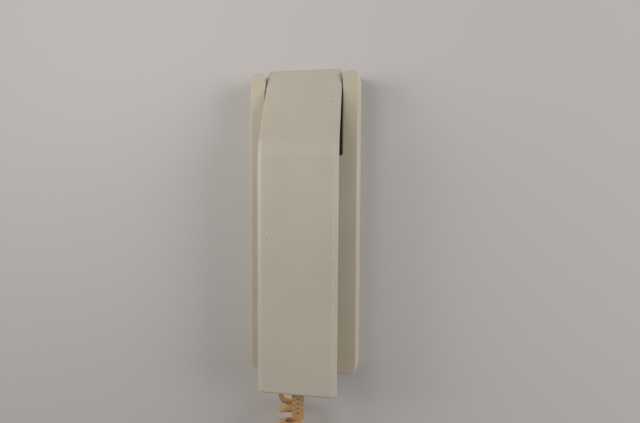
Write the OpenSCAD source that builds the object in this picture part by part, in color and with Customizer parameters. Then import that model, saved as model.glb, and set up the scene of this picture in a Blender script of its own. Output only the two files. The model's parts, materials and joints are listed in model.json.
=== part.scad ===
// Wall interphone handset on its base unit, in millimetres.
// X runs across, Y runs into the wall and Z up. The wall is the plane Y = 0,
// and the origin is midway between the two wall screws.

/* [Base unit] */
// Width of the base unit
base_w = 76.5; // [74:0.5:84]
// Height of the base unit
base_h = 210; // [206:1:220]
// Depth of the base unit from the wall to its face
base_t = 21; // [20.5:0.5:24]
// Corner radius of the base unit
base_corner_r = 4.5; // [3:0.5:8]
// Rounding of the edges round the face and the recess
base_edge_r = 1; // [0.6:0.1:1.4]
// Wall thickness of the base housing
base_wall = 2; // [1.6:0.1:2.4]
// Shadow gap between the housing's rim and the wall
wall_gap = 0.5; // [0.3:0.1:0.8]

/* [Ear recess] */
// Width of the recess that takes the ear end
recess_w = 54.9; // [54.5:0.1:57]
// Height of the recess, down from the top edge
recess_h = 57.4; // [56:0.2:60]
// Radius of the two lower corners of the recess
recess_corner_r = 1.5; // [1:0.5:3]
// Rounding where the recess leaves through the top edge
recess_mouth_r = 3; // [1.5:0.5:4]

/* [Handset] */
// Width of the handset at its ear end
ear_end_w = 53; // [51:0.1:53.6]
// Width of the handset at the bend
bend_w = 55.4; // [54:0.1:57]
// Width of the handset at its mouth end
mouth_end_w = 54.6; // [53:0.1:57]
// Height of the ear end above the base unit
handset_above = 2.8; // [1:0.1:5]
// Length of the mouth end below the base unit
handset_below = 10; // [6:0.5:16]
// Distance from the base's face to the grip's front face
grip_proud = 18.5; // [17.5:0.1:21]
// Depth of the ear end's front edge behind the base's face
ear_end_sink = 4.2; // [3:0.1:5]
// Distance from the base's top edge down to the bend
bend_drop = 53.3; // [50:0.1:56]
// Radius of the bend in the front face
bend_r = 42; // [20:1:50]
// Width of the sloped band along the long edges
edge_band = 3; // [2:0.1:3.6]
// Tilt of the sloped band, in degrees
edge_tilt = 24; // [15:1:30]
// Rounding outside the sloped band
edge_r = 0.9; // [0.5:0.1:1.2]
// Inward lean of the handset's sides, in degrees
side_draft = 12; // [8:1:14]
// Wall thickness of the handset's shells
shell_wall = 2.2; // [1.8:0.1:2.4]
// Step by which the rear shell stands in at the joint
shell_step = 0.35; // [0.2:0.05:0.5]
// Gap between the grip and the base's face
grip_gap = 1.2; // [1:0.1:1.6]
// Distance from the wall to the ear face
ear_face_d = 6.5; // [6.3:0.1:7]
// Gap under the ear end, where it hangs on the ledge
seat_gap = 0.3; // [0.2:0.05:0.5]

/* [Sound parts] */
// Diameter of the receiver capsule
ear_capsule_d = 33; // [28:0.5:34]
// Thickness of the receiver capsule
ear_capsule_t = 8; // [6:0.5:9]
// Diameter of the microphone capsule
mic_d = 15; // [10:0.5:18]
// Thickness of the microphone capsule
mic_t = 5; // [3:0.5:6]
// Diameter of the call speaker
speaker_d = 50; // [40:1:52]
// Depth of the call speaker
speaker_t = 12; // [10:0.5:12.5]
// Width of a slot in the speaker grille
grille_slot = 2; // [1.4:0.1:2.4]

/* [Hook switch] */
// Place of the hook lever, right of the middle
lever_x = 14; // [8:0.5:16]
// Width of the hook lever's arm
lever_w = 7; // [5:0.5:9]
// Height of the arm's tip above the recess's ledge
lever_reach = 30; // [20:1:36]
// Diameter of the lever's pin
pin_d = 2; // [1.6:0.1:2.4]
// Radial play of the lever on its pin
pin_play = 0.05; // [0.03:0.01:0.1]

/* [Cord] */
// Outer diameter of the curly cord
coil_d = 16.2; // [14:0.1:18]
// Diameter of the cord inside the housings
lead_d = 4.2; // [3.6:0.1:4.6]
// Diameter of the strain relief
boot_d = 8.5; // [7:0.1:9]
// Number of rings on the strain relief
boot_rings = 12; // [8:1:14]

/* [Wall bracket] */
// Distance between the two wall screws
screw_pitch = 83.5; // [80:0.5:90]
// Diameter of the wall screw holes
screw_hole_d = 4.4; // [4:0.1:5]
// Thickness of the bracket
plate_t = 1.2; // [1:0.1:1.2]
// Width of the bracket
bracket_w = 56; // [50:1:60]

/* [Hidden] */
$fn = 48;

ivory = [0.79, 0.76, 0.66];
ivory_dark = [0.72, 0.69, 0.59];
steel = [0.72, 0.73, 0.75];
tan_pvc = [0.68, 0.48, 0.24];
board_green = [0.22, 0.42, 0.24];
black_plastic = [0.1, 0.1, 0.11];

eps = 0.01;
fit = 0.1;
fit_press = 0.02;
tap_r = 1.3;
tap_play = 0.03;
facet_n = 6;

// Base levels: z runs up, and names that end in _d are distances out from the wall.
base_top = base_h / 2;
base_bottom = -base_h / 2;
bottom_in = base_bottom + base_wall;
side_in = base_w / 2 - base_wall;
front_in_d = base_t - base_wall;
ledge_z = base_top - recess_h;
ledge_under = ledge_z - base_wall;
floor_d = 3.5;

// Handset levels. The form is the skin that both shells are cut from.
handset_top = base_top + handset_above;
handset_bottom = base_bottom - handset_below;
grip_front_d = base_t + grip_proud;
grip_form_d = base_t + grip_gap - shell_step;
ear_form_d = ear_face_d - shell_step;
ear_front_d = base_t - ear_end_sink;
bend_z = base_top - bend_drop;
slope = (grip_front_d - ear_front_d) / (handset_top - bend_z);
bend_half = bend_r * tan(atan(slope) / 2);
bend_z0 = bend_z - bend_half;
bend_z1 = bend_z + bend_half * cos(atan(slope));
step_z = ledge_z + seat_gap - shell_step;
step_lean = 0.5;
edge_fall = tan(edge_tilt) * (edge_band - edge_r * (1 - sin(edge_tilt)));
edge_drop = edge_fall + edge_r * cos(edge_tilt);
end_r = 2.2;
rear_edge_r = 1.5;
joint_d = 30;
joint_top_d = (ear_front_d + ear_face_d) / 2;
joint_bend_z = bend_z - 6;

// Receiver, between the ear wall and its bridge.
ear_z = (step_z + handset_top) / 2;
ear_wall_d = ear_form_d + shell_wall;
gasket_t = 1;
capsule_d0 = ear_wall_d + gasket_t;
capsule_d1 = capsule_d0 + ear_capsule_t;
bridge_t = 1.6;
bridge_x = ear_capsule_d / 2 + 3.8;
bridge_h = 7;
ear_rib_t = 1.2;
ear_rib_h = 5;

// Microphone, balance weight and joint board, on the rear shell's floor.
grip_floor_d = grip_form_d + shell_wall;
mic_z = handset_bottom + 21;
mic_lip = 1;
mic_holder_r = mic_d / 2 + 2;
mic_front_d = grip_floor_d + mic_lip + mic_t;
weight_w = 30;
weight_h = 56;
weight_t = 5;
joint_board_w = 28;
joint_board_h = 20;
joint_board_z = mic_z + mic_holder_r + joint_board_h / 2 + 6.5;
weight_z = (bend_z + joint_board_z) / 2 + 2;
weight_post_z = [weight_z - weight_h / 2 + 6, weight_z + weight_h / 2 - 6];
weight_post_r = 2.6;
joint_board_t = 1.6;
joint_board_d0 = grip_floor_d + 3;
joint_board_d1 = joint_board_d0 + joint_board_t;
joint_post_x = 10;
joint_post_r = 2.4;
shell_screw_z = [weight_z + weight_h / 2 + 8, weight_z - weight_h / 2 - 10];
shell_boss_r = 3.2;
shell_screw_d = grip_form_d + shell_step + 1.2;

// Cord exits.
boot_x = -1;
boot_in_z = handset_bottom + shell_wall;
boot_neck_r = 3.2;
boot_pitch = 1.6;
boot_slot_w = 2.4;
boot_slot_h = 0.9;
boot_slot_t = 1.1;
boot_end = handset_bottom - boot_rings * boot_pitch - 0.3;
boot_flange_t = 1.6;
lead_r = lead_d / 2;
wire_r = 0.6;
grommet_x = -19;
grommet_d = 10;
grommet_neck_r = lead_r + 1.1;
grommet_end = base_bottom - 6;
grommet_flange_t = 1.4;
clamp_z = bottom_in + 9;
clamp_x = 6;
clamp_t = 4.5;

// Rear cover and bracket.
cover_d0 = 1.5;
cover_t = 1.8;
cover_d1 = cover_d0 + cover_t;
boss_r = 3;
cover_screw_x = side_in - boss_r + 0.6;
cover_screw_z = [bottom_in + 6, ledge_under - 6];
window_w = 44;
window_h = 24;
hook_x = 18;
hook_w = 10;
hook_z = 28;
hook_up = 4;
hook_d = cover_d1 + 0.3;
flange_z = bottom_in + 1;
fixing_x = 20;
fixing_d = 6;
fixing_r = 1.45;

// Circuit board and what it carries.
board_d0 = 10.5;
board_t = 1.6;
board_d1 = board_d0 + board_t;
board_w = 56;
terminal_w = 38;
terminal_h = 14;
terminal_d0 = 5;
board_top = ledge_under - 7.1;
board_bottom = -terminal_h / 2 - 10.5;
board_screw_x = board_w / 2 - 4;
board_screw_z = [board_bottom + 4, board_top - 4];
transformer_z = board_top - 13;

// Call speaker, on a raised ring behind the face.
speaker_r = speaker_d / 2;
speaker_z = (board_bottom + clamp_z + boss_r) / 2;
speaker_seat_d = front_in_d - 2.5;
magnet_r = 11;
magnet_t = 5;
speaker_boss_r = 2.4;

// Hook lever, its pin and the switch below it.
pivot_z = ledge_under - 3.6;
pivot_d = 7;
hub_r = 2.6;
arm_t = 1.8;
arm_d0 = floor_d + 0.6;
arm_top = ledge_z + lever_reach;
ear_t = 2;
ear_play = 0.3;
spring_w = 3.4;
lever_x0 = lever_x - lever_w / 2;
lever_x1 = lever_x + lever_w / 2;
ear_x0 = lever_x0 - ear_play - ear_t;
ear_x1 = lever_x1 + spring_w;
finger_under = pivot_z - 1.8;
finger_t = 2.2;
switch_w = 12.8;
switch_t = 5.8;
switch_h = 6.5;
switch_d = board_d1 + switch_t / 2;
finger_end_d = switch_d + 1;
button_r = 0.8;
button_top = finger_under - 0.2;
button_stem = 3.5;
switch_top = board_top;

// Rest pads under the mouth end.
pad_z = base_bottom + 16;
pad_x = 14;

// The curly cord's middle line, from the strain relief down and up again to the grommet.
coil_points = [
    [-5.5, -30, boot_end], [-5.5, -30, boot_end - 7], [-5.5, -30, boot_end - 14],
    [-5.3, -31, -164], [-5, -32, -180], [-4, -34, -205], [-3, -35.5, -230], [-3, -35, -252],
    [-4.5, -31.5, -270], [-7.5, -23.5, -280], [-10, -16, -274], [-11.5, -12, -260],
    [-12, -10.5, -240], [-12, -10, -210], [-12, -10, -180], [-12, -10, -150], [-12, -10, -125],
    [-12, -10, grommet_end]
];
base_lead_x = -(side_in - lead_r - 2.7);
base_lead_points = [
    [grommet_x, -grommet_d, bottom_in + grommet_flange_t], [grommet_x, -grommet_d, clamp_z],
    [grommet_x, -grommet_d, clamp_z + 7], [grommet_x - 3, -9, clamp_z + 14],
    [base_lead_x + 3.5, -8, clamp_z + 22], [base_lead_x, -8, clamp_z + 34],
    [base_lead_x, -8, board_bottom - 24], [base_lead_x + 4.5, -7.6, board_bottom - 10.5],
    [base_lead_x + 14.5, -7.6, board_bottom - 2], [base_lead_x + 23.5, -7.6, board_bottom + 3.5]
];
speaker_wire_points = [
    [9, -10.8, speaker_z + 14], [11, -8, speaker_z + 19], [14, -7, board_bottom - 6.5],
    [14, -7, board_bottom + 1.5], [14, 1 - board_d0, board_bottom + 6.5]
];
handset_lead_z = boot_in_z + boot_flange_t;
handset_lead_d = mic_front_d + lead_r + 2.3;
lead_rise = handset_lead_d - joint_d;
handset_lead_points = [
    [boot_x, -joint_d, handset_lead_z + 0.3], [boot_x, -joint_d, handset_lead_z + 1.6],
    [boot_x, -joint_d - 0.27 * lead_rise, handset_lead_z + 3.6],
    [boot_x, -joint_d - 0.76 * lead_rise, handset_lead_z + 6],
    [boot_x, -handset_lead_d, mic_z - 7.5], [boot_x, -handset_lead_d, mic_z + 7],
    [boot_x, 1 - handset_lead_d, mic_z + 13], [boot_x, -joint_board_d1 - lead_r - 0.2, joint_board_z - 7],
    [boot_x, -joint_board_d1 - lead_r - 0.2, joint_board_z]
];
inner_wire_d = joint_board_d1 + wire_r + 0.3;
weight_side = weight_w / 2 + 4;
ear_wire_points = [
    [8, -inner_wire_d, joint_board_z + 5], [weight_side - 4, -inner_wire_d - 1.5, joint_board_z + 12],
    [weight_side, -inner_wire_d - 1.5, weight_z - weight_h / 2 - 8],
    [weight_side, -inner_wire_d - 1.5, weight_z],
    [weight_side, -inner_wire_d - 1, weight_z + weight_h / 2],
    [weight_side - 4, -29, ear_z - 33], [9, -25, ear_z - 20], [6, -20, ear_z - 12.5],
    [5, -capsule_d1 - 0.45, ear_z - 8.5]
];
mic_wire_points = [
    [4, -inner_wire_d, joint_board_z - 6], [4, -inner_wire_d - 1.8, joint_board_z - 11],
    [3.5, -mic_front_d - 2.6, mic_z + 8.5], [3, -mic_front_d - 0.65, mic_z + 3]
];

// ---- Helpers ----

// A cylinder along Y between two depths.
module depth_cyl(r, d0, d1, x = 0, z = 0) {
    translate([x, -d0, z]) rotate([90, 0, 0]) cylinder(r = r, h = d1 - d0);
}

// A cylinder along Z between two heights.
module up_cyl(r, z0, z1, x = 0, d = 0) {
    translate([x, -d, z0]) cylinder(r = r, h = z1 - z0);
}

// A cylinder along X.
module cross_cyl(r, x0, x1, d, z) {
    translate([x0, -d, z]) rotate([0, 90, 0]) cylinder(r = r, h = x1 - x0);
}

// A box between two x values, two depths and two heights.
module block(x0, x1, d0, d1, z0, z1) {
    translate([x0, -d1, z0]) cube([x1 - x0, d1 - d0, z1 - z0]);
}

// An outline in X and Z, drawn out between two depths.
module depth_plate(d0, d1) {
    translate([0, -d0, 0]) rotate([90, 0, 0]) linear_extrude(d1 - d0) children();
}

// A profile in depth and Z, drawn out across X.
module cross_plate(x0, x1) {
    translate([x0, 0, 0]) rotate([90, 0, 90]) linear_extrude(x1 - x0) mirror([1, 0]) children();
}

// A profile in radius and depth, turned about an axis along Y; depth grows away from the wall.
module depth_turn(d, x, z) {
    translate([x, -d, z]) rotate([90, 0, 0]) rotate_extrude() children();
}

// A rectangle with round corners.
module round_rect(w, h, r) {
    square([w - 2 * r, h], center = true);
    square([w, h - 2 * r], center = true);
    for (x = [-1, 1], z = [-1, 1]) translate([x * (w / 2 - r), z * (h / 2 - r)]) circle(r);
}

// A closed skin over rings of points, each ring as long as the first.
module loft(rings) {
    n = len(rings[0]);
    last = len(rings) - 1;
    points = [for (ring = rings) each ring];
    sides = [for (k = [0:last - 1], i = [0:n - 1])
        let (a = k * n + i, b = k * n + (i + 1) % n) each [[a, a + n, b + n], [a, b + n, b]]];
    ends = [[for (i = [0:n - 1]) i], [for (i = [n - 1:-1:0]) last * n + i]];
    polyhedron(points, concat(sides, ends));
}

// Points that run smoothly through the given ones, n to a stretch.
function between(a, b, c, e, t) = 0.5 * (2 * b + (c - a) * t + (2 * a - 5 * b + 4 * c - e) * t * t
    + (3 * b - a - 3 * c + e) * t * t * t);
function smooth_path(p, n) = [
    for (k = [0:len(p) - 2], i = [0:n - 1])
        between(p[max(k - 1, 0)], p[k], p[k + 1], p[min(k + 2, len(p) - 1)], i / n),
    p[len(p) - 1]
];

// A round tube swept along points; side is a direction that the path never takes.
module tube(p, r, sides = 8, side = [1, 0, 0]) {
    last = len(p) - 1;
    loft([for (k = [0:last])
        let (
            t = p[min(k + 1, last)] - p[max(k - 1, 0)],
            u = cross(t, side) / norm(cross(t, side)),
            v = cross(t, u) / norm(t)
        ) [for (i = [0:sides - 1]) p[k] + r * (u * cos(360 * i / sides) + v * sin(360 * i / sides))]]);
}

// A pan-head screw along Y. Its head's seat is at depth seat_d, and tip is 1
// when it points away from the wall and -1 when it points towards it.
module screw(x, z, seat_d, length, r = 1.27, head_r = 2.5, head_t = 1.4, tip = 1) {
    translate([x, -seat_d, z]) rotate([90 * tip, 0, 0]) difference() {
        union() {
            translate([0, 0, -head_t]) cylinder(r = head_r, h = head_t);
            cylinder(r = r, h = length);
        }
        for (a = [0, 90]) rotate(a) translate([-head_r * 0.6, -0.3, -head_t - eps])
            cube([head_r * 1.2, 0.6, head_t * 0.5]);
    }
}

// ---- Handset form ----

// Depth of the front face at a height: a flat grip, a round bend and a slope.
function front_depth(z) =
    z <= bend_z0 ? grip_front_d :
    z >= bend_z1 ? grip_front_d - slope * (z - bend_z) :
    grip_front_d - bend_r + sqrt(bend_r * bend_r - (z - bend_z0) * (z - bend_z0));

// Half the handset's width at a height.
function half_width(z) = z < bend_z ?
    (mouth_end_w + (bend_w - mouth_end_w) * (z - handset_bottom) / (bend_z - handset_bottom)) / 2 :
    (bend_w - (bend_w - ear_end_w) * (z - bend_z) / (handset_top - bend_z)) / 2;

// One level section of the handset, smaller all round by inset.
function handset_ring(z, rear, inset) =
    let (
        front = front_depth(z) - inset,
        hw = half_width(z) - inset,
        rear_d = rear + inset + rear_edge_r,
        rear_hw = hw - tan(side_draft) * (front - edge_drop - rear_d),
        right = concat(
            [[hw - edge_band, front]],
            [for (i = [0:4]) let (t = edge_tilt + (90 - edge_tilt) * i / 4)
                [hw - edge_r * (1 - sin(t)), front - edge_drop + edge_r * cos(t)]],
            [for (i = [0:3])
                [rear_hw - rear_edge_r * (1 - cos(30 * i)), rear_d - rear_edge_r * sin(30 * i)]])
    )
    concat([for (p = right) [p[0], -p[1], z]],
        [for (i = [len(right) - 1:-1:0]) [-right[i][0], -right[i][1], z]]);

// The whole handset as one closed form with round ends, smaller all round by inset.
module handset_form(inset) {
    z0 = handset_bottom + inset;
    z1 = handset_top - inset;
    r = max(end_r - inset, 0.3);
    step = step_z + inset;
    bend = [for (i = [0:6]) bend_z0 + (bend_z1 - bend_z0) * i / 6];
    loft(concat(
        [for (i = [0:4]) handset_ring(z0 + r * (1 - cos(22.5 * i)), grip_form_d,
            inset + r * (1 - sin(22.5 * i)))],
        [for (z = bend) if (z < step - 0.3) handset_ring(z, grip_form_d, inset)],
        [handset_ring(step, grip_form_d, inset), handset_ring(step + step_lean, ear_form_d, inset)],
        [for (z = bend) if (z > step + step_lean + 0.3) handset_ring(z, ear_form_d, inset)],
        [for (i = [4:-1:0]) handset_ring(z1 - r * (1 - cos(22.5 * i)), ear_form_d,
            inset + r * (1 - sin(22.5 * i)))]
    ));
}

// What lies in front of the joint between the shells, or behind it.
module joint_side(front) {
    far = front ? grip_front_d + 10 : -10;
    cross_plate(-bend_w, bend_w) polygon([
        [joint_d, handset_bottom - 5], [joint_d, joint_bend_z],
        [joint_top_d, handset_top], [joint_top_d, handset_top + 5],
        [far, handset_top + 5], [far, handset_bottom - 5]
    ]);
}

// Holes in rings about a middle, for sound to pass.
module sound_holes(x, z, d0, d1, rings, pitch, r) {
    depth_cyl(r, d0, d1, x, z);
    for (k = [1:rings], i = [0:6 * k - 1])
        depth_cyl(r, d0, d1, x + k * pitch * cos(60 * i / k), z + k * pitch * sin(60 * i / k));
}

// ---- Base unit ----

// A rounded rectangle on the wall's plane as a ring of points at depth d.
function base_ring(d, inset) =
    let (x = base_w / 2 - base_corner_r, z = base_h / 2 - base_corner_r, r = base_corner_r - inset)
    [for (c = [[x, z, 0], [-x, z, 90], [-x, -z, 180], [x, -z, 270]], i = [0:facet_n])
        [c[0] + r * cos(c[2] + 90 * i / facet_n), -d, c[1] + r * sin(c[2] + 90 * i / facet_n)]];

// The outline of the recess at depth d, wider all round by grow; it runs out at the top.
function recess_ring(d, grow) =
    let (
        x = recess_w / 2,
        low_r = recess_corner_r + grow,
        low_x = x - recess_corner_r,
        low_z = ledge_z + recess_corner_r,
        mouth_r = recess_mouth_r - grow,
        mouth_x = x + recess_mouth_r,
        mouth_z = base_top - recess_mouth_r,
        right = concat(
            [for (i = [0:facet_n]) let (a = -90 + 90 * i / facet_n)
                [low_x + low_r * cos(a), low_z + low_r * sin(a)]],
            [for (i = [0:facet_n]) let (a = 180 - 90 * i / facet_n)
                [mouth_x + mouth_r * cos(a), mouth_z + mouth_r * sin(a)]],
            [[mouth_x, base_top + 5]])
    )
    concat([for (p = right) [p[0], -d, p[1]]],
        [for (i = [len(right) - 1:-1:0]) [-right[i][0], -d, right[i][1]]]);

// The rounded edge round the face and the recess, in four steps: depth, and how far in.
function edge_round_d(i) = base_t - base_edge_r * (1 - sin(22.5 * i));
function edge_round_in(i) = base_edge_r * (1 - cos(22.5 * i));

module base_form() {
    loft(concat(
        [base_ring(wall_gap, 0)],
        [for (i = [0:4]) base_ring(edge_round_d(i), edge_round_in(i))]
    ));
}

module recess_cut() {
    loft(concat(
        [recess_ring(floor_d, 0)],
        [for (i = [0:4]) recess_ring(edge_round_d(i), edge_round_in(i))],
        [recess_ring(base_t + 1, base_edge_r)]
    ));
}

// The hollow of the housing: a low room, and a pocket each side of the recess.
module housing_hollow() {
    low_h = ledge_under - bottom_in;
    depth_plate(0, front_in_d) translate([0, bottom_in + low_h / 2])
        round_rect(2 * side_in, low_h, base_corner_r - 1.5);
    pocket_x = recess_w / 2 + base_wall;
    for (x = [-side_in, pocket_x])
        block(x, x + side_in - pocket_x, 0, front_in_d, ledge_under - 8, base_top - base_wall);
    depth_plate(0, cover_d0) round_rect(2 * side_in, base_h - 2 * base_wall, base_corner_r - 1.5);
}

module speaker_grille() {
    n = floor(speaker_d * 0.34 / (grille_slot + 1.6));
    for (i = [-n:n]) {
        z = i * (grille_slot + 1.6);
        half = sqrt(pow(speaker_d * 0.4, 2) - z * z) - grille_slot;
        depth_plate(front_in_d - 1, base_t + 1) translate([0, speaker_z + z])
            union() {
                square([2 * half, grille_slot], center = true);
                for (s = [-1, 1]) translate([s * half, 0]) circle(grille_slot / 2);
            }
    }
}

// Places of the screws round the speaker.
function speaker_screw_at(i) =
    let (r = speaker_r + speaker_boss_r + 0.2)
    [r * cos(90 + 120 * i), speaker_z + r * sin(90 + 120 * i)];

module base_bosses() {
    for (x = [-1, 1]) {
        for (z = cover_screw_z) depth_cyl(boss_r, cover_d1, front_in_d + 1, x * cover_screw_x, z);
        for (z = board_screw_z) depth_cyl(boss_r, board_d1, front_in_d + 1, x * board_screw_x, z);
    }
    for (i = [0:2]) let (p = speaker_screw_at(i))
        depth_cyl(speaker_boss_r, speaker_seat_d - 1, front_in_d + 1, p[0], p[1]);
    depth_turn(speaker_seat_d, 0, speaker_z)
        translate([speaker_r - 2, 0]) square([2, front_in_d + 1 - speaker_seat_d]);
    for (x = [ear_x0, ear_x1])
        block(x, x + ear_t, pivot_d - 3, pivot_d + 3, pivot_z - 2.8, ledge_under + 1);
    block(grommet_x - clamp_x - boss_r, grommet_x + clamp_x + boss_r, grommet_d, front_in_d + 1,
        clamp_z - boss_r, clamp_z + boss_r);
}

module base_holes() {
    speaker_grille();
    block(lever_x0 - 0.5, lever_x1 + 0.5, floor_d, arm_d0 + arm_t + 2.6, ledge_under - 1, ledge_z + 1);
    for (x = [ear_x0, ear_x1]) cross_cyl(pin_d / 2 + fit_press, x - 1, x + ear_t + 1, pivot_d, pivot_z);
    for (x = [-1, 1]) {
        for (z = cover_screw_z) depth_cyl(tap_r, cover_d1 - 1, cover_d1 + 8, x * cover_screw_x, z);
        for (z = board_screw_z) depth_cyl(tap_r, board_d1 - 1, board_d1 + 6.4, x * board_screw_x, z);
        depth_cyl(tap_r, grommet_d - 1, grommet_d + 7, grommet_x + x * clamp_x, clamp_z);
    }
    for (i = [0:2]) let (p = speaker_screw_at(i))
        depth_cyl(tap_r, speaker_seat_d - 2, front_in_d + 0.8, p[0], p[1]);
    up_cyl(lead_r, clamp_z - 6, clamp_z + 6, grommet_x, grommet_d);
    up_cyl(grommet_neck_r + fit_press, base_bottom - 1, bottom_in + 1, grommet_x, grommet_d);
    up_cyl(fixing_r + 0.3, base_bottom - 1, bottom_in + 1, fixing_x, fixing_d);
}

module base_housing() color(ivory) difference() {
    union() {
        difference() {
            base_form();
            housing_hollow();
            recess_cut();
        }
        base_bosses();
    }
    base_holes();
}

module rest_pads() color(black_plastic)
    for (x = [-1, 1]) depth_cyl(4, base_t, base_t + grip_gap - seat_gap, x * pad_x, pad_z);

module rear_cover() color(ivory_dark) {
    top = ledge_under - fit;
    bottom = bottom_in + fit;
    difference() {
        depth_plate(cover_d0, cover_d1) translate([0, (top + bottom) / 2])
            round_rect(2 * (side_in - fit), top - bottom, base_corner_r - 1.5);
        for (z = [-1, 1]) depth_cyl(5, cover_d0 - 1, cover_d1 + 1, 0, z * screw_pitch / 2);
        block(-terminal_w / 2 - 0.3, terminal_w / 2 + 0.3, cover_d0 - 1, cover_d1 + 1,
            -terminal_h / 2 - 0.3, terminal_h / 2 + 0.3);
        for (x = [-hook_x, hook_x]) block(x - hook_w / 2 - 1, x + hook_w / 2 + 1, cover_d0 - 1,
            cover_d1 + 1, hook_z - plate_t - 0.5, hook_z + hook_up + 0.5);
        block(fixing_x - 8.5, fixing_x + 8.5, cover_d0 - 1, cover_d1 + 1, bottom - 1,
            flange_z + plate_t + 1);
        for (x = [-1, 1], z = cover_screw_z) {
            depth_cyl(1.6, cover_d0 - 1, cover_d1 + 1, x * cover_screw_x, z);
            depth_cyl(2.7, cover_d0 - 1, cover_d0 + 0.9, x * cover_screw_x, z);
        }
    }
}

module cover_screws() color(steel)
    for (x = [-1, 1], z = cover_screw_z)
        screw(x * cover_screw_x, z, cover_d0 + 0.9, 8, tap_r - tap_play, 2.4, 0.9);

module wall_bracket() color(steel) {
    difference() {
        block(-bracket_w / 2, bracket_w / 2, 0, plate_t, flange_z, screw_pitch / 2 + 8);
        for (z = [-1, 1]) depth_cyl(screw_hole_d / 2, -1, plate_t + 1, 0, z * screw_pitch / 2);
        block(-window_w / 2, window_w / 2, -1, plate_t + 1, -window_h / 2, window_h / 2);
    }
    for (x = [-hook_x, hook_x]) {
        block(x - hook_w / 2, x + hook_w / 2, 0, hook_d + plate_t, hook_z - plate_t, hook_z);
        block(x - hook_w / 2, x + hook_w / 2, hook_d, hook_d + plate_t,
            hook_z - plate_t, hook_z + hook_up);
    }
    difference() {
        block(fixing_x - 8, fixing_x + 8, 0, fixing_d + 5, flange_z, flange_z + plate_t);
        up_cyl(fixing_r + tap_play, flange_z - 1, flange_z + plate_t + 1, fixing_x, fixing_d);
    }
}

module fixing_screw() color(steel) difference() {
    union() {
        up_cyl(2.8, base_bottom - 1.6, base_bottom, fixing_x, fixing_d);
        up_cyl(fixing_r, base_bottom, flange_z + plate_t + 2.5, fixing_x, fixing_d);
    }
    block(fixing_x - 2, fixing_x + 2, fixing_d - 0.35, fixing_d + 0.35,
        base_bottom - 2, base_bottom - 0.8);
}

module circuit_board() color(board_green) difference() {
    block(-board_w / 2, board_w / 2, board_d0, board_d1, board_bottom, board_top);
    for (x = [-1, 1], z = board_screw_z) depth_cyl(1.6, board_d0 - 1, board_d1 + 1, x * board_screw_x, z);
}

module board_screws() color(steel)
    for (x = [-1, 1], z = board_screw_z)
        screw(x * board_screw_x, z, board_d0, board_t + 5.5, tap_r - tap_play, 2.4);

function terminal_x(i) = terminal_w / 4 * (i - 1.5);

module terminal_block() color(black_plastic) difference() {
    block(-terminal_w / 2, terminal_w / 2, terminal_d0, board_d0, -terminal_h / 2, terminal_h / 2);
    for (i = [0:3]) {
        depth_cyl(2.6, terminal_d0 - 1, terminal_d0 + 2, terminal_x(i), 2);
        depth_cyl(1.2, terminal_d0, terminal_d0 + 5, terminal_x(i), 2);
        depth_cyl(1.3, terminal_d0 - 1, terminal_d0 + 4, terminal_x(i), -4);
    }
}

module terminal_screws() color(steel)
    for (i = [0:3]) screw(terminal_x(i), 2, terminal_d0 + 2, 2.8, 1.17, 2.4, 1.6);

module transformer() color([0.3, 0.28, 0.26]) {
    x = -12;
    z = transformer_z;
    h = front_in_d - 1.6;
    difference() {
        block(x - 7, x + 7, board_d1, h, z - 8, z + 8);
        block(x - 5, x + 5, board_d1 - 1, h + 1, z - 5, z + 5);
    }
    block(x - 5, x + 5, board_d1, h + 0.8, z - 4.6, z + 4.6);
}

module capacitors() color([0.16, 0.2, 0.34]) {
    for (x = [-20, -11, -2]) up_cyl(3, transformer_z - 29, transformer_z - 18, x, board_d1 + 3);
    for (x = [9, 16]) depth_cyl(2.5, board_d1, board_d1 + 6, x, transformer_z - 23);
}

module volume_trimmer() color([0.85, 0.84, 0.8]) {
    x = 2;
    z = board_top - 19;
    difference() {
        block(x - 4.5, x + 4.5, board_d1, board_d1 + 4, z - 4.5, z + 4.5);
        depth_cyl(3, board_d1 + 2.6, board_d1 + 5, x, z);
    }
    difference() {
        depth_cyl(2.6, board_d1 + 2.6, board_d1 + 4, x, z);
        block(x - 2, x + 2, board_d1 + 3.3, board_d1 + 5, z - 0.4, z + 0.4);
    }
}

// The speaker's parts are turned about its axis, with depths counted back from its seat.
module speaker_turn() {
    translate([0, -speaker_seat_d, speaker_z]) rotate([-90, 0, 0]) rotate_extrude() children();
}

module speaker_frame() color(steel) speaker_turn() {
    back = speaker_t - magnet_t;
    polygon([
        [speaker_r - 3, 0], [speaker_r, 0], [speaker_r, 1], [speaker_r - 2.4, 1],
        [magnet_r + 1.4, back], [5, back], [5, back - 1], [magnet_r + 0.8, back - 1],
        [speaker_r - 3.4, 0.6]
    ]);
}

module speaker_cone() color([0.12, 0.11, 0.1]) speaker_turn() {
    back = speaker_t - magnet_t;
    polygon([
        [0, back - 3], [4, back - 3.4], [speaker_r - 6.6, 0.8], [speaker_r - 3.1, 0],
        [speaker_r - 3.5, 0.5], [speaker_r - 6.4, 1.2], [4.6, back - 2.6], [4.6, back], [0, back]
    ]);
}

module speaker_magnet() color([0.2, 0.2, 0.22])
    depth_cyl(magnet_r, speaker_seat_d - speaker_t, speaker_seat_d - speaker_t + magnet_t, 0, speaker_z);

module speaker_screws() color(steel)
    for (i = [0:2]) let (p = speaker_screw_at(i))
        screw(p[0], p[1], speaker_seat_d - 1, 3.8, tap_r - tap_play, 3.2, 1.2);

module speaker_wires() color([0.6, 0.15, 0.12])
    for (x = [0, 3]) tube(smooth_path([for (p = speaker_wire_points) p + [x, 0, 0]], 2), wire_r, 6);

// ---- Hook switch ----

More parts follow.
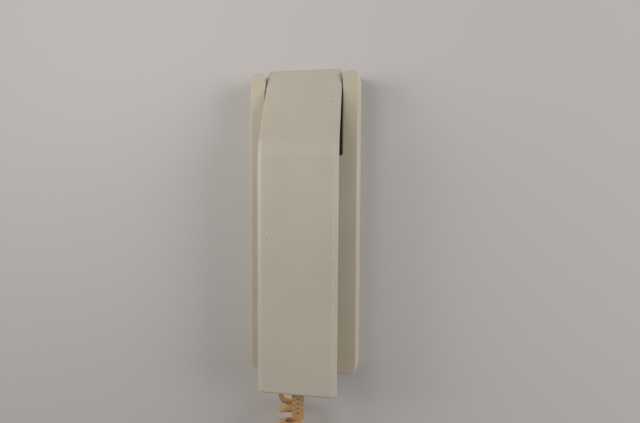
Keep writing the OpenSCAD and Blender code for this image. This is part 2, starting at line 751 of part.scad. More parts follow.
module hook_lever() color(ivory) difference() {
    union() {
        cross_cyl(hub_r, lever_x0, lever_x1, pivot_d, pivot_z);
        cross_plate(lever_x0, lever_x1) polygon([
            [arm_d0 + 0.6, pivot_z], [pivot_d + 1, pivot_z + 1], [arm_d0 + arm_t, ledge_under],
            [arm_d0 + arm_t, arm_top - 7], [ear_face_d - seat_gap, arm_top - 4],
            [ear_face_d - seat_gap, arm_top - 1.5], [arm_d0 + arm_t, arm_top], [arm_d0, arm_top],
            [arm_d0, ledge_under]
        ]);
        block(lever_x0, lever_x1, pivot_d, finger_end_d, finger_under, finger_under + finger_t);
    }
    cross_cyl(pin_d / 2 + pin_play, lever_x0 - 1, lever_x1 + 1, pivot_d, pivot_z);
}

module lever_pin() color(steel)
    cross_cyl(pin_d / 2, ear_x0 - 0.4, ear_x1 + ear_t + 0.4, pivot_d, pivot_z);

// A torsion spring round the pin: three turns and two legs.
module lever_spring() color(steel) {
    r = pin_d / 2 + 0.6;
    x0 = lever_x1 + 0.6;
    turns = [for (i = [0:36])
        [x0 + 0.75 * i / 12, -pivot_d - r * sin(30 * i), pivot_z + r * cos(30 * i)]];
    legs = [for (x = [x0, x0 + 2.25]) [x, -pivot_d + 6, pivot_z + r]];
    tube(concat([legs[0] - [0, 12, 0]], turns, [legs[1] - [0, 2.6, 0]]), 0.25, 6);
}

module switch_body() color(black_plastic) difference() {
    block(lever_x - switch_w / 2, lever_x + switch_w / 2, board_d1, board_d1 + switch_t,
        switch_top - switch_h, switch_top);
    up_cyl(button_r + pin_play, switch_top - 4, switch_top + 1, lever_x, switch_d);
}

module switch_button() color([0.8, 0.2, 0.15])
    up_cyl(button_r, button_top - button_stem, button_top, lever_x, switch_d);

// ---- Cord entry of the base unit ----

module base_grommet() color(tan_pvc) {
    up_cyl(grommet_neck_r + 1.3, bottom_in, bottom_in + grommet_flange_t, grommet_x, grommet_d);
    up_cyl(grommet_neck_r, base_bottom - eps, bottom_in + eps, grommet_x, grommet_d);
    translate([grommet_x, -grommet_d, grommet_end])
        cylinder(r1 = lead_r + 1, r2 = grommet_neck_r + 1, h = base_bottom - grommet_end);
}

module base_lead() color(tan_pvc) tube(smooth_path(base_lead_points, 3), lead_r, 8, [0, 1, 0]);

module lead_clamp() color(black_plastic) difference() {
    block(grommet_x - clamp_x - boss_r, grommet_x + clamp_x + boss_r, grommet_d - clamp_t,
        grommet_d - 0.2, clamp_z - boss_r, clamp_z + boss_r);
    up_cyl(lead_r + fit_press, clamp_z - 6, clamp_z + 6, grommet_x, grommet_d);
    for (x = [-1, 1]) depth_cyl(1.6, grommet_d - 8, grommet_d + 1, grommet_x + x * clamp_x, clamp_z);
}

module clamp_screws() color(steel)
    for (x = [-1, 1])
        screw(grommet_x + x * clamp_x, clamp_z, grommet_d - clamp_t, clamp_t + 5.5, tap_r - tap_play);

// ---- Handset ----

module front_shell() color(ivory) difference() {
    union() {
        difference() {
            intersection() {
                handset_form(0);
                joint_side(true);
            }
            handset_form(shell_wall);
        }
        for (z = shell_screw_z)
            depth_cyl(shell_boss_r, grip_floor_d, grip_front_d - shell_wall / 2, 0, z);
    }
    for (z = shell_screw_z) depth_cyl(tap_r, grip_floor_d - 1, grip_floor_d + 9, 0, z);
    up_cyl(boot_neck_r + fit_press, handset_bottom - 1, boot_in_z + 1, boot_x, joint_d);
}

module rear_ribs() {
    depth_turn(ear_form_d + 1, 0, ear_z) translate([ear_capsule_d / 2 + fit, 0])
        square([ear_rib_t, ear_rib_h + shell_wall - 1]);
    for (x = [-bridge_x, bridge_x]) depth_cyl(2, ear_form_d + 1, capsule_d1, x, ear_z);
    depth_turn(grip_form_d + 1, 0, mic_z) translate([mic_holder_r + fit, 0])
        square([1.2, mic_t - 1 + shell_wall - 1]);
    for (z = weight_post_z)
        depth_cyl(weight_post_r, grip_form_d + 1, grip_floor_d + weight_t - 0.2, 0, z);
    for (x = [-joint_post_x, joint_post_x])
        depth_cyl(joint_post_r, grip_form_d + 1, joint_board_d0, x, joint_board_z);
}

module rear_holes() {
    sound_holes(0, ear_z, ear_face_d - 1, ear_wall_d + 1, 2, 4.5, 1);
    sound_holes(0, mic_z, grip_form_d - 1, grip_floor_d + 1, 1, 3, 0.8);
    depth_turn(ear_face_d - 1, 0, ear_z) polygon([[0, 0], [18, 0], [18, 1], [16, 1.6], [0, 1.6]]);
    for (x = [-bridge_x, bridge_x]) depth_cyl(1, ear_wall_d + 1, capsule_d1 + 1, x, ear_z);
    for (z = weight_post_z) depth_cyl(1, grip_floor_d, grip_floor_d + weight_t + 1, 0, z);
    for (x = [-joint_post_x, joint_post_x])
        depth_cyl(1, grip_floor_d - 0.5, joint_board_d0 + 1, x, joint_board_z);
    for (z = shell_screw_z) {
        depth_cyl(1.6, grip_form_d - 1, grip_floor_d + 1, 0, z);
        depth_cyl(2.8, grip_form_d - 1, shell_screw_d, 0, z);
    }
    up_cyl(boot_neck_r + fit_press, handset_bottom - 1, boot_in_z + 1, boot_x, joint_d);
}

module rear_shell() color(ivory) difference() {
    union() {
        difference() {
            intersection() {
                handset_form(shell_step);
                joint_side(false);
            }
            handset_form(shell_wall);
        }
        rear_ribs();
    }
    rear_holes();
}

module shell_screws() color(steel)
    for (z = shell_screw_z) screw(0, z, shell_screw_d, 9, tap_r - tap_play, 2.6, 1);

module ear_capsule() color(black_plastic) depth_turn(capsule_d0, 0, ear_z) {
    r = ear_capsule_d / 2;
    t = ear_capsule_t;
    difference() {
        polygon([
            [0, 0.6], [3, 0.6], [3, 0], [r - 1, 0], [r, 1], [r, t - 3], [r - 2, t - 1],
            [r - 2, t], [0, t]
        ]);
        translate([r - 5, t - 0.8]) square([1.4, 2]);
    }
}

module ear_gasket() color([0.18, 0.18, 0.18]) depth_turn(ear_wall_d, 0, ear_z)
    translate([ear_capsule_d / 2 - 5, 0]) square([4.5, gasket_t]);

module ear_bridge() color(black_plastic) difference() {
    union() {
        block(-bridge_x, bridge_x, capsule_d1, capsule_d1 + bridge_t,
            ear_z - bridge_h / 2, ear_z + bridge_h / 2);
        for (x = [-bridge_x, bridge_x]) depth_cyl(2.4, capsule_d1, capsule_d1 + bridge_t, x, ear_z);
    }
    for (x = [-bridge_x, bridge_x]) depth_cyl(1.1, capsule_d1 - 1, capsule_d1 + bridge_t + 1, x, ear_z);
}

module bridge_screws() color(steel)
    for (x = [-bridge_x, bridge_x])
        screw(x, ear_z, capsule_d1 + bridge_t, 7, 1 - tap_play, 1.9, 1.2, -1);

module mic_capsule() color(steel) depth_turn(grip_floor_d + mic_lip, 0, mic_z) {
    r = mic_d / 2;
    polygon([
        [0, 0.3], [r - 2, 0.3], [r - 2, 0], [r - 0.5, 0], [r, 0.5], [r, mic_t - 0.6],
        [r - 0.6, mic_t], [0, mic_t]
    ]);
}

module mic_holder() color([0.16, 0.16, 0.17]) depth_turn(grip_floor_d, 0, mic_z) {
    r = mic_d / 2 + fit_press;
    h = mic_lip + mic_t + 0.6;
    polygon([[4, 0], [mic_holder_r, 0], [mic_holder_r, h], [r, h], [r, mic_lip], [4, mic_lip]]);
}

module balance_weight() color([0.45, 0.45, 0.46]) difference() {
    depth_plate(grip_floor_d, grip_floor_d + weight_t)
        translate([0, weight_z]) round_rect(weight_w, weight_h, 3);
    for (z = weight_post_z)
        depth_cyl(weight_post_r + 0.15, grip_floor_d - 1, grip_floor_d + weight_t + 1, 0, z);
}

module weight_screws() color(steel)
    for (z = weight_post_z) screw(0, z, grip_floor_d + weight_t, 4.6, 1 - tap_play, 4, 1.2, -1);

module joint_board() color(board_green) difference() {
    block(-joint_board_w / 2, joint_board_w / 2, joint_board_d0, joint_board_d1,
        joint_board_z - joint_board_h / 2, joint_board_z + joint_board_h / 2);
    for (x = [-joint_post_x, joint_post_x])
        depth_cyl(1.2, joint_board_d0 - 1, joint_board_d1 + 1, x, joint_board_z);
}

module joint_board_screws() color(steel)
    for (x = [-joint_post_x, joint_post_x])
        screw(x, joint_board_z, joint_board_d1, joint_board_t + 2.8, 1 - tap_play, 2, 1.1, -1);

module handset_lead() color(tan_pvc) tube(smooth_path(handset_lead_points, 2), lead_r, 8);

module ear_wires() color([0.75, 0.7, 0.2])
    for (x = [0, 2.4])
        tube(smooth_path([for (p = ear_wire_points) p + [x, 0, 0]], 2), wire_r, 6, [0, 1, 0.2]);

module mic_wires() color([0.2, 0.4, 0.7])
    for (x = [0, 2.4]) tube(smooth_path([for (p = mic_wire_points) p + [x, 0, 0]], 2), wire_r, 6);

// ---- Cord ----

// A strain relief with short slots, each row turned a quarter from the next.
module cord_boot() color(tan_pvc) {
    up_cyl(boot_neck_r + 1.8, boot_in_z, boot_in_z + boot_flange_t, boot_x, joint_d);
    up_cyl(boot_neck_r, handset_bottom - eps, boot_in_z + eps, boot_x, joint_d);
    difference() {
        up_cyl(boot_d / 2, boot_end, handset_bottom, boot_x, joint_d);
        for (i = [0:boot_rings - 1], s = [0, 180])
            translate([boot_x, -joint_d, handset_bottom - (i + 0.6) * boot_pitch]) rotate(90 * i + s)
                translate([boot_d / 2 - boot_slot_t, -boot_slot_w / 2, -boot_slot_h / 2])
                    cube([boot_slot_t + 1, boot_slot_w, boot_slot_h]);
    }
}

module curly_cord() color(tan_pvc) tube(smooth_path(coil_points, 2), coil_d / 2, 10);

wall_bracket();
rear_cover();
base_housing();
rest_pads();
cover_screws();
fixing_screw();
circuit_board();
board_screws();
terminal_block();
terminal_screws();
transformer();
capacitors();
volume_trimmer();
speaker_frame();
speaker_cone();
speaker_magnet();
speaker_screws();
speaker_wires();
hook_lever();
lever_pin();
lever_spring();
switch_body();
switch_button();
base_grommet();
base_lead();
lead_clamp();
clamp_screws();
front_shell();
rear_shell();
shell_screws();
ear_capsule();
ear_gasket();
ear_bridge();
bridge_screws();
mic_capsule();
mic_holder();
balance_weight();
weight_screws();
joint_board();
joint_board_screws();
handset_lead();
ear_wires();
mic_wires();
cord_boot();
curly_cord();
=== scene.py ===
import json
import math
import bmesh
import bpy
from mathutils import Matrix, Vector


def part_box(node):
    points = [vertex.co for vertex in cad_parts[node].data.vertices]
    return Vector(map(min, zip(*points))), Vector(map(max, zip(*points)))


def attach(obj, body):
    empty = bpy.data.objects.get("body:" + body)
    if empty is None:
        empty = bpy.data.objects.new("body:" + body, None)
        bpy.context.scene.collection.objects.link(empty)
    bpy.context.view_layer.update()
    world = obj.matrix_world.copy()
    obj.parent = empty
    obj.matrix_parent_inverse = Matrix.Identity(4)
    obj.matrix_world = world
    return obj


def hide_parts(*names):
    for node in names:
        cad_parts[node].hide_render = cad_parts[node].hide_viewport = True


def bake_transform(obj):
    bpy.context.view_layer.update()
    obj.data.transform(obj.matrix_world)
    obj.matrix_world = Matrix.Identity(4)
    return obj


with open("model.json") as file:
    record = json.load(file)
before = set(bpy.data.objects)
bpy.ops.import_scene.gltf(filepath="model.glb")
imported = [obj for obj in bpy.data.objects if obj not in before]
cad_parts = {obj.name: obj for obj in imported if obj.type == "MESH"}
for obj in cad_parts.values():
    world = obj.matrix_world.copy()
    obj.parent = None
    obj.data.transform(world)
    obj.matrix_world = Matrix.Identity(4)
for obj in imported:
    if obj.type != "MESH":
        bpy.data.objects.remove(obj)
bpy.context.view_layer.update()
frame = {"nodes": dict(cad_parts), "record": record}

NODES = frame["nodes"]
SCENE = bpy.context.scene
MERGE = 1e-6


# ---- Helpers ----

def linear(rgb):
    """sRGB numbers from 0 to 255 as linear colour."""
    out = []
    for c in rgb:
        c = c / 255.0
        out.append(c / 12.92 if c <= 0.04045 else ((c + 0.055) / 1.055) ** 2.4)
    return (*out, 1.0)


def ease(t):
    """0 up to t = 0, 1 from t = 1, smooth between."""
    t = min(1.0, max(0.0, t))
    return t * t * (3 - 2 * t)


def link_new(name, data):
    obj = bpy.data.objects.new(name, data)
    SCENE.collection.objects.link(obj)
    return obj


def from_bmesh(name, bm, turn_out=True):
    """A smooth shaded object made of bm, which is freed."""
    mesh = bpy.data.meshes.new(name)
    if turn_out:
        bmesh.ops.recalc_face_normals(bm, faces=bm.faces)
    bm.to_mesh(mesh)
    bm.free()
    for p in mesh.polygons:
        p.use_smooth = True
    return link_new(name, mesh)


def spline(points, steps):
    """A smooth line through points."""
    p = [Vector(q) for q in points]
    last = len(p) - 1
    out = []
    for k in range(last):
        a, b, c, e = p[max(k - 1, 0)], p[k], p[k + 1], p[min(k + 2, last)]
        for i in range(steps):
            t = i / steps
            out.append(0.5 * (2 * b + (c - a) * t + (2 * a - 5 * b + 4 * c - e) * t * t
                              + (3 * b - a - 3 * c + e) * t ** 3))
    return out + [p[last]]


# ---- Camera ----

LENS_MM = 26.18
SENSOR_MM = 36.0
CAMERA_SHIFT_Y = -0.0019
CAMERA_NEAR = 0.01
CAMERA_PLACE = (0.07158, -0.33846, 0.02322)
CAMERA_TURN_X, CAMERA_TURN_Y, CAMERA_TURN_Z = 0.0403, 0.0132, -0.1848


def add_camera():
    data = bpy.data.cameras.new("camera")
    data.sensor_width = SENSOR_MM
    data.lens = LENS_MM
    data.shift_y = CAMERA_SHIFT_Y
    data.clip_start = CAMERA_NEAR
    data.dof.use_dof = False
    camera = link_new("camera", data)
    turn = (Matrix.Rotation(CAMERA_TURN_Z, 3, "Z") @ Matrix.Rotation(CAMERA_TURN_Y, 3, "Y")
            @ Matrix.Rotation(CAMERA_TURN_X, 3, "X"))
    right, ahead, up = turn[0], turn[1], turn[2]
    rows = Matrix((right, up, -ahead)).transposed()
    camera.matrix_world = Matrix.Translation(CAMERA_PLACE) @ rows.to_4x4()
    SCENE.camera = camera


add_camera()


# ---- Curly cord ----

# The coil's middle line: down from the strain relief, round the loop and up to the base unit.
COIL_MM = [
    (-5.5, -30, -134.5), (-5.5, -30, -141.5), (-5.5, -30, -148.5), (-5.3, -31, -164),
    (-5, -32, -180), (-4, -34, -205), (-3, -35.5, -230), (-3, -35, -252), (-4.5, -31.5, -270),
    (-7.5, -23.5, -280), (-10, -16, -274), (-11.5, -12, -260), (-12, -10.5, -240),
    (-12, -10, -210), (-12, -10, -180), (-12, -10, -150), (-12, -10, -125), (-12, -10, -111),
]
COIL_STEPS = 24
COIL_PAST_LOOP = 300
COIL_TOP_Z = -0.1336
CURVE_REACH = 12

# The straight tail, from the last turn up into the base unit's grommet.
TAIL_MM = [
    (-17.3, -6.3, -133.5), (-18.5, -8.4, -130.4), (-19, -9.8, -125.8), (-19, -10, -120),
    (-19, -10, -111), (-19, -10, -105),
]
TAIL_STEPS = 30
TAIL_LEAD_IN = 40
TAIL_FACES = (0.012, 0.010)

WIRE_W = 0.0043
WIRE_T = 0.0031
WIRE_SIDES = 16
WIRE_POINT_GAP = 0.0013
SHORTEST_GAP_SHARE = 0.3
WIRE_SQUARENESS = 2.8
WIRE_SHIFT = Vector((0.0006, 0, 0))
BOOT = Vector((-0.001, -0.030, -0.1345))
BOOT_POINTS = 20
BOOT_POINT_GAP = 0.0002

COIL_R = 0.0064
FIRST_TURN_R = 0.0045
FIRST_TURN_REACH = 0.005
REAR_R_GAIN = 0.0001
REAR_R_REACH = 0.1

FRONT_PITCH = 0.0052
REAR_PITCH = 0.0110
LOW_PITCH = 0.0050
LAST_TURNS_CLOSER = 0.0040
LAST_TURNS_REACH = 0.0105
LAST_TURNS_FADE = 0.003
ENDS_UNSTRETCHED = 0.015
ENDS_FADE = 0.03
CLOSEST_PITCH = 0.0046
TIGHTEST_SHARE = 0.3

WINDING_STEP = 0.00006
WINDING_START = 0.003
LAST_TURN_LEAN_DEG = 20
LAST_TURN_REACH = 0.012
LAST_TURN_DIP = 0.0018
LAST_TURN_ENDS_DEG = 125
STRETCH_RANGE = (1.0, 1.2)
STRETCH_ROUNDS = 12


def coil_line():
    """The coil's middle line, its running length and its curvature at each point."""
    line = [p + WIRE_SHIFT for p in spline([[c / 1000 for c in p] for p in COIL_MM], COIL_STEPS)]
    top = next(i for i, p in enumerate(line) if i > COIL_PAST_LOOP and p.z > COIL_TOP_Z)
    line = line[:top + 1]
    run = [0.0]
    for a, b in zip(line, line[1:]):
        run.append(run[-1] + (b - a).length)
    curved = []
    for i in range(len(line)):
        before, after = max(i - CURVE_REACH, 0), min(i + CURVE_REACH, len(line) - 1)
        a, b, c = line[before], line[i], line[after]
        turn = (b - a).angle(c - b) if (b - a).length and (c - b).length else 0.0
        span = ((b - a).length + (c - b).length) / 2
        curved.append(turn / span if span else 0.0)
    return line, run, curved


def pitches(run, curved, stretch):
    """How far the coil climbs in one turn, at each point of its middle line."""
    total = run[-1]
    half = total / 2
    out = []
    for s, curve in zip(run, curved):
        top = FRONT_PITCH if s < half else REAR_PITCH
        near = s if s < half else total - s
        pitch = LOW_PITCH + (top - LOW_PITCH) * ease(1 - near / half)
        if s > half:
            pitch -= LAST_TURNS_CLOSER * ease((LAST_TURNS_REACH - near) / LAST_TURNS_FADE)
        away = ease((near - ENDS_UNSTRETCHED) / ENDS_FADE)
        pitch *= 1 + (stretch - 1) * away
        out.append(max(pitch, CLOSEST_PITCH / max(TIGHTEST_SHARE, 1 - COIL_R * curve)))
    return out


def wound(stretch):
    """Points on the wire with the way out of the coil at each, and the angle wound in all."""
    line, run, curved = coil_line()
    climbs = pitches(run, curved, stretch)
    total = run[-1]
    lean = math.tan(math.radians(LAST_TURN_LEAN_DEG))
    phase, s, k = 0.0, 0.0, 0
    out = []
    while s < total:
        while run[k + 1] < s:
            k += 1
        f = (s - run[k]) / (run[k + 1] - run[k])
        centre = line[k].lerp(line[k + 1], f)
        ahead = (line[k + 1] - line[k]).normalized()
        side = (Vector((1, 0, 0)) - ahead * ahead.x).normalized()
        other = ahead.cross(side)
        r = (FIRST_TURN_R + (COIL_R - FIRST_TURN_R) * ease(s / FIRST_TURN_REACH)
             + REAR_R_GAIN * ease((s - total / 2) / REAR_R_REACH))
        outward = math.cos(phase) * side + math.sin(phase) * other
        last = ease(1 - (total - s) / LAST_TURN_REACH)
        dip = LAST_TURN_DIP * max(0.0, -math.sin(phase)) ** 2
        tilt = last * (lean * r * math.sin(phase) - dip)
        out.append((centre + r * outward - ahead * tilt, outward))
        pitch = climbs[k] * (1 - f) + climbs[k + 1] * f
        phase += 2 * math.pi * WINDING_STEP / pitch * ease(s / WINDING_START)
        s += WINDING_STEP
    return out, phase


def cord_points():
    """The whole wire. The turns are fitted so that the last one ends at the back left."""
    part_turn = math.radians(LAST_TURN_ENDS_DEG) / (2 * math.pi)
    turns = wound(1.0)[1] / (2 * math.pi)
    goal = math.floor(turns - part_turn) + part_turn
    low, high = STRETCH_RANGE
    for _ in range(STRETCH_ROUNDS):
        middle = (low + high) / 2
        if wound(middle)[1] / (2 * math.pi) > goal:
            low = middle
        else:
            high = middle
    coil = wound(middle)[0]
    above = BOOT_POINTS * BOOT_POINT_GAP
    start = [(BOOT + Vector((0, 0, above - BOOT_POINT_GAP * i)), Vector((1, 0, 0)))
             for i in range(BOOT_POINTS)]
    corners = [coil[-TAIL_LEAD_IN][0], coil[-1][0]] + [[c / 1000 for c in p] for p in TAIL_MM]
    tail = spline(corners, TAIL_STEPS)[TAIL_STEPS:]
    face_x, face_y = TAIL_FACES
    end = [(p, Vector((p.x + face_x, p.y + face_y, 0)).normalized()) for p in tail]
    return start + coil + end


def evened(points, gap):
    """The same wire with its points an even distance apart."""
    out = [points[0]]
    left = gap
    for (a, u), (b, v) in zip(points, points[1:]):
        length = (b - a).length
        done = 0.0
        while length - done >= left:
            done += left
            t = done / length
            out.append((a.lerp(b, t), u.lerp(v, t).normalized()))
            left = gap
        left -= length - done
    if (points[-1][0] - out[-1][0]).length > gap * SHORTEST_GAP_SHARE:
        out.append(points[-1])
    return out


def ribbon(name, points, half_w, half_t, sides):
    """A flat wire with rounded edges, its broad side to the coil's inside."""
    bm = bmesh.new()
    rings = []
    last = len(points) - 1
    for i, (p, outward) in enumerate(points):
        ahead = (points[min(i + 1, last)][0] - points[max(i - 1, 0)][0]).normalized()
        out = (outward - ahead * outward.dot(ahead)).normalized()
        wide = ahead.cross(out)
        ring = []
        for j in range(sides):
            t = 2 * math.pi * j / sides
            x, y = math.cos(t), math.sin(t)
            x = math.copysign(abs(x) ** (2 / WIRE_SQUARENESS), x)
            y = math.copysign(abs(y) ** (2 / WIRE_SQUARENESS), y)
            ring.append(bm.verts.new(p + wide * (half_w * x) + out * (half_t * y)))
        rings.append(ring)
    for r0, r1 in zip(rings, rings[1:]):
        for j in range(sides):
            bm.faces.new((r0[j], r0[(j + 1) % sides], r1[(j + 1) % sides], r1[j]))
    bm.faces.new(rings[0][::-1])
    bm.faces.new(rings[-1])
    return from_bmesh(name, bm)


def add_cord():
    points = evened(cord_points(), WIRE_POINT_GAP)
    cord = ribbon("curly_cord_wire", points, WIRE_W / 2, WIRE_T / 2, WIRE_SIDES)
    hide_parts("curly_cord")
    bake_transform(cord)
    return cord


CORD = add_cord()


# ---- Strain relief ----

RELIEF_TOP = -0.1150
RELIEF_END = -0.1345
RELIEF_R = 0.00425
RELIEF_BORE_R = 0.0021
RELIEF_GROOVE_R = 0.0036
RELIEF_NECK_H = 0.002
RELIEF_ROWS = 76
RELIEF_SIDES = 112
RELIEF_ROUND = 0.0006
RELIEF_SHARP_DEG = 50

RIDGES_AROUND = 4
RIDGE_CLIMB = 0.0033
RIDGE_START = 0.0012
RIDGE_TURN = math.atan2(-0.974, 0.225)
RIDGE_LEVEL, RIDGE_SPAN = 0.55, 1.1
LATTICE_FADE_IN, LATTICE_FADE_OUT = 0.0008, 0.0006
LATTICE_END = 0.0163
HOLLOW_DEPTH, PIT_DEPTH = 0.0003, 0.0002
# How strongly painted shade darkens the hollows and their centres.
HOLLOW_SHADE, PIT_SHADE = 0.4, 0.6
PIT_FROM, PIT_SPAN = 0.9, 0.1


def relief_profile(low, high):
    """The sleeve's section, as radius and height, from the bore's top to the bore's end."""
    neck = (high.x - low.x) / 2
    profile = [
        (RELIEF_BORE_R, high.z), (neck, high.z), (neck, high.z - RELIEF_NECK_H),
        (RELIEF_GROOVE_R, high.z - RELIEF_NECK_H), (RELIEF_GROOVE_R, RELIEF_TOP + RELIEF_ROUND),
        (RELIEF_R - RELIEF_ROUND / 2, RELIEF_TOP + RELIEF_ROUND), (RELIEF_R, RELIEF_TOP),
    ]
    length = RELIEF_END + RELIEF_ROUND - RELIEF_TOP
    for i in range(1, RELIEF_ROWS + 1):
        profile.append((RELIEF_R, RELIEF_TOP + length * i / RELIEF_ROWS))
    return profile + [(RELIEF_R - 0.0002, RELIEF_END + 0.0001),
                      (RELIEF_R - RELIEF_ROUND, RELIEF_END), (RELIEF_BORE_R, RELIEF_END)]


def add_strain_relief():
    """A moulded sleeve: a lattice of ridges, small hollows between them darkened with painted
    shade, and a plain collar below.
    """
    low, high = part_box("cord_boot")
    cx, cy = (low.x + high.x) / 2, (low.y + high.y) / 2
    bm = bmesh.new()
    verts = [bm.verts.new((cx + r, cy, z)) for r, z in relief_profile(low, high)]
    for a, b in zip(verts, verts[1:]):
        bm.edges.new((a, b))
    bmesh.ops.spin(bm, geom=bm.verts[:] + bm.edges[:], cent=(cx, cy, 0), axis=(0, 0, 1),
                   angle=2 * math.pi, steps=RELIEF_SIDES, use_merge=True)
    bmesh.ops.remove_doubles(bm, verts=bm.verts, dist=MERGE)
    # This layer holds painted shade: darker in the hollows and darkest at their centres, where
    # real shade would fall.
    painted_pit_shade = bm.verts.layers.float.new("painted_pit_shade")
    for v in bm.verts:
        x, y = v.co.x - cx, v.co.y - cy
        if math.hypot(x, y) < RELIEF_R - 0.0001 or v.co.z > RELIEF_TOP + 1e-5:
            continue
        around = math.atan2(y, x) - RIDGE_TURN
        down = RELIEF_TOP - v.co.z
        climb = 2 * math.pi * (down - RIDGE_START) / RIDGE_CLIMB
        cell = [ease((math.cos(RIDGES_AROUND * around + way * climb) + RIDGE_LEVEL) / RIDGE_SPAN)
                for way in (-1, 1)]
        inside = ease(down / LATTICE_FADE_IN) * ease((LATTICE_END - down) / LATTICE_FADE_OUT)
        hollow = cell[0] * cell[1] * inside
        deep = ease((hollow - PIT_FROM) / PIT_SPAN)
        v[painted_pit_shade] = HOLLOW_SHADE * hollow + PIT_SHADE * deep
        shrink = 1 - (HOLLOW_DEPTH * hollow + PIT_DEPTH * deep) / RELIEF_R
        v.co.x, v.co.y = cx + x * shrink, cy + y * shrink
    piece = from_bmesh("strain_relief", bm)
    piece.data.set_sharp_from_angle(angle=math.radians(RELIEF_SHARP_DEG))
    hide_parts("cord_boot")
    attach(piece, "handset")
    return piece


RELIEF = add_strain_relief()


# ---- Rigid parts with rounded, worn edges ----

TUBES = {"base_lead", "handset_lead", "ear_wires", "mic_wires", "speaker_wires", "lever_spring"}
ROUND_MM = {
    "base_housing": 0.25, "front_shell": 0.22, "rear_shell": 0.22, "rear_cover": 0.25,
    "wall_bracket": 0.15, "rest_pads": 0.25, "hook_lever": 0.25, "terminal_block": 0.2,
    "transformer": 0.2, "capacitors": 0.3, "circuit_board": 0.1, "joint_board": 0.1,
    "balance_weight": 0.35, "speaker_magnet": 0.3,
}
OTHER_ROUND_MM = 0.12
ROUND_SEGMENTS = 2

# Edges that turn by more than this are rounded. The handset's bands meet at a shallow crease.
CREASE_DEG = {"front_shell": 22.9}
OTHER_CREASE_DEG = 35

# Points where rounding would leave a gap, and the depth of a flat area to fill afresh.
LEFT_SHARP_MM = {"base_housing": [(29.45, -3.5, 103), (-29.45, -3.5, 103)]}
LEFT_SHARP_REACH = 0.0003
FOLDED_MM = {"base_housing": -3.5}
FLAT_WITHIN = 2e-6

FLAT_DEG = 0.1
FLAT_AFTER_DEG = 0.05
WORN_FROM_RAD = 0.1
MERGE_AFTER = 1e-7
SHARP_DEG = 50
TUBE_SHARP_DEG = 75


def sharp_chains(bm, angle, left_sharp):
    """Groups of touching sharp edges, but for those that meet in the points left sharp."""
    def kept(e):
        return any((v.co - Vector(p) / 1000).length < LEFT_SHARP_REACH
                   for v in e.verts for p in left_sharp)

    left = {e for e in bm.edges if e.is_manifold and e.calc_face_angle(0) > angle and not kept(e)}
    chains = []
    while left:
        first = left.pop()
        chain, edge = [first], [first]
        while edge:
            for v in edge.pop().verts:
                for e in v.link_edges:
                    if e in left:
                        left.remove(e)
                        chain.append(e)
                        edge.append(e)
        chains.append(chain)
    return chains


def refill(bm, depth):
    """Fills the flat area at this depth afresh, where its triangles lie folded over each other."""
    flat = {f for f in bm.faces if all(abs(v.co.y - depth) < FLAT_WITHIN for v in f.verts)}
    edges = {e for f in flat for e in f.edges}
    border = [e for e in edges if sum(f in flat for f in e.link_faces) == 1]
    inner = [e for e in edges if sum(f in flat for f in e.link_faces) == 2]
    bmesh.ops.delete(bm, geom=inner, context="EDGES_FACES")
    bmesh.ops.triangle_fill(bm, edges=[e for e in border if e.is_valid], use_beauty=True,
                            use_dissolve=False, normal=(0, -1, 0))


def round_edges(bm, node, worn):
    """Rounds the sharp edges, group by group, and marks the new faces as worn."""
    width = ROUND_MM.get(node, OTHER_ROUND_MM) / 1000
    angle = math.radians(CREASE_DEG.get(node, OTHER_CREASE_DEG))
    for chain in sharp_chains(bm, angle, LEFT_SHARP_MM.get(node, ())):
        made = bmesh.ops.bevel(bm, geom=chain, offset=width, offset_type="OFFSET",
                               segments=ROUND_SEGMENTS, profile=0.5, affect="EDGES",
                               clamp_overlap=True, material=-1)
        for f in made["faces"]:
            f[worn] = 1.0
    bmesh.ops.remove_doubles(bm, verts=bm.verts, dist=MERGE_AFTER)
    bmesh.ops.dissolve_degenerate(bm, edges=bm.edges, dist=MERGE_AFTER)
    for f in bm.faces:
        if f[worn]:
            turns = [e.calc_face_angle(0) for e in f.edges if e.is_manifold]
            if max(turns, default=0) < WORN_FROM_RAD:
                f[worn] = 0.0


def flatten(bm, degrees):
    bmesh.ops.dissolve_limit(bm, angle_limit=math.radians(degrees), verts=bm.verts, edges=bm.edges)


def dressed(node, body):
    """A merged copy of a part with its sharp edges rounded. The rounds are marked for wear."""
    bm = bmesh.new()
    bm.from_mesh(NODES[node].data)
    bmesh.ops.remove_doubles(bm, verts=bm.verts, dist=MERGE)
    bmesh.ops.dissolve_degenerate(bm, edges=bm.edges, dist=MERGE)
    if node in FOLDED_MM:
        refill(bm, FOLDED_MM[node] / 1000)
    worn = bm.faces.layers.float.new("edge")
    if node not in TUBES:
        flatten(bm, FLAT_DEG)
        round_edges(bm, node, worn)
        flatten(bm, FLAT_AFTER_DEG)
    piece = from_bmesh(node + "_finished", bm, turn_out=False)
    sharp = TUBE_SHARP_DEG if node in TUBES else SHARP_DEG
    piece.data.set_sharp_from_angle(angle=math.radians(sharp))
    if node not in TUBES:
        even = piece.modifiers.new("even_shading", "WEIGHTED_NORMAL")
        even.keep_sharp = True
    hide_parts(node)
    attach(piece, body)
    return piece


BODIES = frame["record"]["behaviour"]["bodies"]
BODY_OF = {node: body for body, members in BODIES.items() for node in members}
FINISHED = {}
for part in frame["record"]["subparts"]:
    name = part["node"]
    if name not in ("curly_cord", "cord_boot"):
        FINISHED[name] = dressed(name, BODY_OF[name])


# ---- Materials ----

